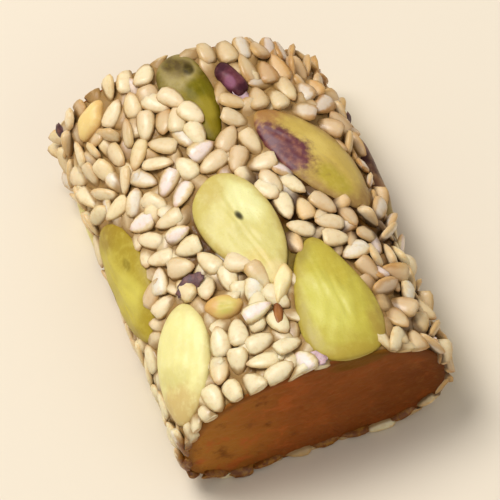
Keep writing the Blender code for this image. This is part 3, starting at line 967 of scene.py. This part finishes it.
OLIVE = (146, 124, 50)
LOOKS = (
    Look(
        (188, 174, 66), (166, 144, 52), (202, 190, 88),
        (-1.2, -1.0, 3.8, 2.2, (206, 198, 96), 0.8),
        (6.8, -1.9, 1.8, 1.5, (140, 120, 46), 0.6),
        (4.0, 1.4, 3.0, 1.5, (184, 164, 56), 0.7),
        (-4.4, 3.6, 2.4, 1.3, (164, 136, 56), 0.8),
        (-7.2, -0.6, 1.2, 3.4, (170, 144, 48), 0.7),
        (0.6, -4.2, 5.0, 1.0, (166, 146, 62), 0.7),
        flatness=2.2,
    ),
    Look(
        (208, 194, 116), (188, 164, 88), (220, 210, 146),
        (-2.6, -1.7, 2.8, 1.5, (226, 220, 154), 0.9),
        (-6.2, 1.2, 2.2, 2.2, (190, 168, 84), 0.85),
        (-4.2, 3.0, 2.4, 1.3, (192, 174, 86), 0.7),
        (4.4, 1.0, 1.6, 1.5, (212, 186, 104), 0.6),
        (6.6, -0.2, 1.4, 1.2, (232, 208, 148), 0.7),
        flatness=3.0, rim_from=0.7, dot=(-1.3, -0.3, 0.46),
    ),
    Look(
        (228, 218, 144), (212, 196, 126), (238, 230, 168),
        (-1.4, -0.4, 1.2, 2.2, (208, 194, 116), 0.6),
        (-4.8, 0.2, 2.4, 3.2, (202, 170, 104), 0.85),
        flatness=2.4, rim_from=0.7,
    ),
    Look(
        (190, 172, 72), (156, 130, 40), (206, 190, 88),
        (2.4, 3.0, 4.0, 1.4, (158, 134, 40), 0.7),
        (5.8, 2.2, 2.0, 2.2, (152, 124, 40), 0.8),
        (-2.0, 1.2, 2.4, 1.4, (204, 190, 86), 0.7),
        (-6.6, 0.0, 1.6, 2.0, (172, 150, 46), 0.6),
        (0.6, 2.6, 0.9, 0.4, (118, 100, 26), 0.6),
        (1.7, -2.9, 1.2, 0.5, (96, 66, 40), 0.7),
        rim_from=0.5, shine=0.2,
    ),
    Look(
        (190, 160, 76), (150, 114, 62), (212, 186, 98),
        (7.0, 0.6, 1.8, 2.4, (158, 110, 60), 0.85),
        (0.8, 0.4, 1.8, 1.4, (214, 186, 98), 0.7),
        (-3.2, -1.6, 2.2, 1.2, (172, 152, 44), 0.8),
        (-7.4, 0.2, 1.2, 2.0, (146, 108, 52), 0.8),
        skin=Patch(3.4, -2.0, 3.9, 2.0, None, 1.0),
    ),
    Look(
        (126, 108, 14), (92, 78, 8), (146, 128, 36),
        (3.6, -0.1, 2.5, 2.3, (168, 150, 98), 0.95),
        (3.9, 0.1, 1.5, 1.8, (120, 102, 62), 0.9),
        (4.6, -0.2, 1.0, 1.2, (78, 60, 28), 0.85),
        (3.9, 0.6, 0.9, 0.9, (84, 68, 32), 0.7),
        (3.2, 1.1, 0.8, 0.6, (60, 48, 8), 0.9),
        (0.5, 1.0, 1.5, 1.4, (104, 94, 0), 0.95),
        (-2.0, 0.7, 1.6, 1.0, (150, 132, 44), 0.7),
        rise=0.7, shine=0.15,
    ),
    Look(
        (92, 42, 52), (62, 24, 34), (150, 96, 96),
        # A painted highlight: the pinkish patch low on this kernel.
        (-0.4, -0.6, 0.7, 0.5, (146, 86, 112), 0.65),
        (1.7, 0.0, 0.8, 1.2, (52, 16, 30), 0.8),
        (-1.9, 0.2, 0.6, 1.2, (58, 18, 30), 0.8),
        ragged=0.09, shine=0.25,
    ),
    Look(
        (208, 182, 100), (206, 162, 94), (222, 194, 118),
        (1.5, 0.2, 1.0, 1.4, (208, 158, 92), 0.8),
        (-0.5, -0.2, 0.9, 0.8, (192, 180, 88), 0.8),
        ragged=0.09,
    ),
    Look((226, 194, 122), (212, 168, 100), (238, 214, 156), ragged=0.1),
    Look(
        (164, 128, 88), (112, 76, 52), (176, 140, 96),
        (2.4, -1.6, 2.6, 3.0, (66, 36, 34), 0.95),
        (-4.4, 0.0, 2.4, 4.0, (166, 144, 88), 0.9),
        skin=Patch(3.0, 0.4, 3.0, 2.4, None, 0.7),
        rise=1.6, flatness=3.0, shine=0.15,
    ),
    Look(
        (206, 194, 90), (164, 144, 58), (222, 214, 118),
        (3.0, -1.0, 3.0, 2.0, OLIVE, 0.7),
    ),
    Look((234, 226, 146), (206, 186, 104), (246, 240, 178), flatness=2.6, rim_from=0.66),
    Look(
        (198, 182, 82), (158, 136, 58), (214, 200, 104),
        (-3.0, 1.0, 3.0, 2.0, OLIVE, 0.6),
    ),
    Look(
        (236, 228, 150), (210, 190, 110), (246, 240, 180),
        (4.0, 1.0, 2.0, 2.0, (206, 182, 100), 0.7),
        skin=Patch(-3.4, -2.0, 2.6, 1.8, None, 0.9),
        flatness=2.4,
    ),
    Look((204, 192, 88), (164, 144, 58), (222, 214, 118)),
    Look((230, 220, 140), (204, 184, 100), (244, 236, 172)),
)


def make_kernel(name, kernel, look, draw, finish_name):
    form = closed_form(kernel_form(kernel, draw, look))
    return make_piece(name, form, kernel_finish(finish_name, look), KERNEL_CHANNELS)


def make_kernels():
    for number, (kernel, look) in enumerate(zip(KERNELS, LOOKS), 1):
        name, flesh = f"kernel_{number:02d}", f"kernel_flesh_{number:02d}"
        draw = KERNEL_DRAW + 10 * number
        piece = make_kernel(name, kernel, look, draw, flesh)
        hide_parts(f"pistachio_{number:02d}")


# A pale sliver of kernel that lies between two of them, and a drop of syrup below it. Both are
# drawn like kernels.
SCRAPS = (
    (
        "kernel_sliver", 300, "pistachio", Kernel(0.4, -10.4, 5.2, 1.8, -151.0, 0.35),
        Look(
            (238, 216, 160), (214, 176, 108), (250, 236, 196),
            rise=1.1, flatness=2.4, rim_from=0.6, ragged=0.07,
        ),
    ),
    (
        "syrup_drop", 310, "brown_jelly", Kernel(-1.2, -13.9, 4.0, 1.2, -165.0, 0.1),
        Look((150, 92, 40), (104, 56, 24), (190, 130, 70), rise=0.85, rim_from=0.4),
    ),
)


def make_scraps():
    for name, draw, slot, scrap, look in SCRAPS:
        piece = make_kernel(name, scrap, look, draw, name)
        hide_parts("sesame_coat")


# ---- finishes of jelly, film and seeds


def jelly_finish():
    """Dense moist brown jelly: amber at the left to dark red-brown at the right, that darkening
    towards +X being painted shade, with light and dark blots, paler at the upper right, darker at
    the foot as a painted contact shadow and at the rim, and olive under a kernel."""
    finish = Finish("brown_jelly", 0.2, 1.5, (1.0, 0.35, 0.12), shine=0.06, coat_blur=0.25)
    x, y, z = finish.axes()
    clouds = finish.noise(6.0, rough=0.6)
    blots = finish.noise(3.4, 4.0, 0.65)
    fine = finish.noise(0.9, rough=0.6)
    cloudy, blotted = clouds - 0.5, blots - 0.5
    left = (x + cloudy * 8).step(2, -8) * 0.7 + 0.3
    upper_right = (z + cloudy * 6).step(8, 13) * x.step(-2, 6)
    rim = (finish.attribute("edge") + blotted * 0.16).step(0.92, 1.0)
    under_kernel = oval((x, z), (5.4, 15.6), (0.26, 0.6)) + blotted * 0.6
    under_kernel = under_kernel.step(1.1, 0.3) * y.step(0.0, -10.0)
    body = finish.layered(
        (166, 108, 44),
        # Painted shade: the face darkens from amber at the left to red-brown at the right, the
        # side away from the light.
        ((x + cloudy * 12).step(-14, -2), (144, 80, 34)),
        ((x + cloudy * 10).step(-4, 15), (106, 56, 20)),
        (blots.step(0.5, 0.64) * left * 0.8, (176, 92, 42)),
        (blots.step(0.46, 0.3) * left * 0.7, (96, 50, 16)),
        (upper_right * 0.4, (142, 82, 40)),
        # Painted shade: darker at the foot, a contact shadow near the board.
        (z.step(5, 1) * 0.3, (84, 36, 12)),
        (fine.step(0.5, 0.8) * 0.3, (150, 104, 58)),
        (rim * 0.5, (84, 50, 22)),
        (under_kernel * 0.6, (106, 78, 16)),
    )
    finish.to(
        base_color=body,
        roughness=0.5 + fine * 0.2,
        coat_weight=clouds.step(0.45, 0.75) * 0.05,
        normal=finish.bump(fine * 0.4 + blots * 0.6, 0.35),
    )
    return finish


def film_finish():
    """The same jelly as a thin sticky film between the seeds: dark in the middle of the top,
    paler away from it, and olive between the two kernels at the front."""
    finish = Finish("sticky_film", 0.15, 0.8, (1.0, 0.4, 0.15), shine=0.1, coat_blur=0.15)
    x, y, _ = finish.axes()
    clouds = finish.noise(4.5)
    fine = finish.noise(0.5)
    between = oval((x, y), (3.8, -7.6), (0.4, 0.22)) + (clouds - 0.5) * 0.8
    body = finish.layered(
        (50, 30, 8),
        (clouds.step(0.35, 0.65), (90, 58, 20)),
        # Paler away from the middle; the front of the +X side stays dark as painted shade.
        (finish.away_from_middle() * 0.75, (166, 130, 80)),
        (fine.step(0.5, 0.8) * 0.25, (144, 112, 68)),
        (between.step(1.2, 0.3) * 0.8, (118, 98, 46)),
    )
    finish.to(
        base_color=body,
        roughness=0.3 + fine * 0.25,
        coat_weight=clouds.step(0.4, 0.7) * 0.12,
        normal=finish.bump(fine, 0.08),
    )
    return finish


def seed_finish():
    """Hulled sesame, cream to toasted, browner on the +X side and deep down as painted shade,
    each seed its own tone and a few golden, white or pinkish: lighter on top as a painted
    highlight, tan along the edge as painted shade of its sides, darker at the point, browned
    where it sits in the film and darkened there as painted shade of the gaps, and smeared with
    jelly at the lower front, with patches of shining film."""
    finish = Finish("sesame_hull", 0.2, 0.5, (0.8, 0.6, 0.35), shine=0.3, coat_blur=0.25)
    tip, edge, bare, toast, tone = map(finish.attribute, SEED_CHANNELS)
    x, y, z = finish.axes()
    mottle = finish.noise(0.6)
    fine = finish.noise(0.2, 2.0)
    regions = finish.noise(9.0, 1.0).step(0.45, 0.6)
    front = y.step(-7, -12) * x.step(10, 7)
    uneven_edge = edge + (mottle - 0.5) * 0.5
    # The top of each seed, away from its edge, where the painted highlight is laid.
    on_top = uneven_edge.step(0.75, 0.3)
    # Partly real stain, partly painted shade: the lower sides of a seed near the film are
    # darkened, standing for the shade in the gaps between the seeds.
    stained_and_shaded = (bare + (mottle - 0.5) * 0.2).step(0.44, 0.1)
    stain_and_shade = finish.mix(finish.away_from_middle(), (76, 46, 12), (154, 118, 68))
    smeared = (mottle * 1.6 - y).step(20.2, 21.2) * (mottle * 2 - x).step(11.5, 13.5)
    smeared = smeared * z.step(12.0, 9.0) + toast.step(1.1, 1.3)
    smear = finish.mix(mottle.step(0.4, 0.7), (116, 66, 18), (158, 108, 36))
    hull = finish.layered(
        (226, 204, 162),
        (toast.step(0.05, 0.85), (172, 122, 66)),
        (tone.step(0.6, 1.0) * 0.4, (228, 200, 136)),
        (tone.step(0.95, 0.97) * 0.5, (206, 146, 76)),
        (regions * 0.3, (226, 216, 166)),
        (front * 0.3, (220, 216, 174)),
        # Painted highlight: the top of each seed made paler, as if lit from above; the few
        # whitish and pinkish seeds show their own tone only there.
        (on_top * 0.25, (246, 228, 192)),
        (on_top * tone.step(0.2, 0.14) * 0.5, (222, 216, 206)),
        (on_top * tone.step(0.07, 0.04) * 0.6, (238, 214, 208)),
        # Painted shade: tan along each seed's edge, where its sides turn from the light.
        (uneven_edge.step(0.7, 1.0) * 0.5, (206, 160, 92)),
        (mottle.step(0.45, 0.75) * 0.35, (206, 168, 112)),
        (tip.step(0.55, 1.0) * 0.6, (178, 128, 74)),
        (stained_and_shaded * 0.9, stain_and_shade),
        (smeared, smear),
    )
    finish.to(
        base_color=hull,
        roughness=0.36 + mottle * 0.2,
        coat_weight=finish.noise(2.4, 2.0).step(0.4, 0.6) * 0.4,
        normal=finish.bump(fine * 0.5 + mottle * 0.5, 0.05),
    )
    return finish


# ---- floor, light and camera, in metres

FLOOR_SIDE = 3.0
FLOOR_COLOUR = (222, 209, 188)
FLOOR_ROUGHNESS = 0.8
SURROUNDINGS = (1.0, 0.99, 0.97, 1.0)
SURROUNDINGS_STRENGTH = 0.47
LAMPS = (  # name, place, size, and power in watts
    ("window", (-0.16, 0.17, 0.54), 0.26, 3.0),
    ("fill", (0.3, -0.5, 0.5), 0.5, 0.45),
)
CAMERA_AZIMUTH = -14.36
CAMERA_ELEVATION = 60.33
CAMERA_DISTANCE = 0.8169
CAMERA_ROLL = 5.72  # the picture's upright leans this far, in degrees
CAMERA_AIM = (0.0, 0.0, 0.008)
PIXEL_ANGLE = 0.000498  # radians that one pixel of the photograph spans at the piece
PIXELS_SHOWN = 132
SENSOR = 36.0


def make_stage():
    """A plain pale floor, soft white surroundings, a large soft light at the upper left and a
    faint one from the front."""
    half = FLOOR_SIDE / 2
    mesh = bpy.data.meshes.new("floor")
    corners = [(-half, -half, 0), (half, -half, 0), (half, half, 0), (-half, half, 0)]
    mesh.from_pydata(corners, [], [(0, 1, 2, 3)])
    paint = bpy.data.materials.new("floor_paint")
    paint.use_nodes = True
    shader = paint.node_tree.nodes["Principled BSDF"]
    shader.inputs["Base Color"].default_value = colour(*FLOOR_COLOUR)
    shader.inputs["Roughness"].default_value = FLOOR_ROUGHNESS
    mesh.materials.append(paint)
    floor = shown("floor", mesh)

    world = bpy.data.worlds.new("studio")
    world.use_nodes = True
    background = world.node_tree.nodes["Background"]
    background.inputs["Color"].default_value = SURROUNDINGS
    background.inputs["Strength"].default_value = SURROUNDINGS_STRENGTH
    bpy.context.scene.world = world

    for name, place, size, power in LAMPS:
        light = bpy.data.lights.new(name, "AREA")
        light.size = size
        light.energy = power
        lamp = shown(name, light)
        lamp.location = place
        lamp.rotation_mode = "QUATERNION"
        lamp.rotation_quaternion = Vector(place).to_track_quat("Z", "Y")


def make_camera():
    """The photograph's view of this piece, aimed straight at it and enlarged."""
    azimuth, elevation = np.radians(CAMERA_AZIMUTH), np.radians(CAMERA_ELEVATION)
    level = np.cos(elevation)
    back = Vector((np.sin(azimuth) * level, -np.cos(azimuth) * level, np.sin(elevation)))
    data = bpy.data.cameras.new("camera")
    data.sensor_width = SENSOR
    data.lens = SENSOR / (PIXEL_ANGLE * PIXELS_SHOWN)
    camera = shown("camera", data)
    upright = back.to_track_quat("Z", "Y").to_matrix()
    turned = upright @ Matrix.Rotation(-np.radians(CAMERA_ROLL), 3, "Z")
    place = Vector(CAMERA_AIM) + back * CAMERA_DISTANCE
    camera.matrix_world = Matrix.Translation(place) @ turned.to_4x4()
    bpy.context.scene.camera = camera


def main():
    make_camera()
    make_stage()
    bpy.context.scene.view_settings.view_transform = "Standard"
    spots, headings = make_seeds(seed_finish())
    make_coat(film_finish(), spots, headings)
    make_flakes(flake_finish())
    make_scraps()
    make_jelly(jelly_finish())
    make_kernels()


main()
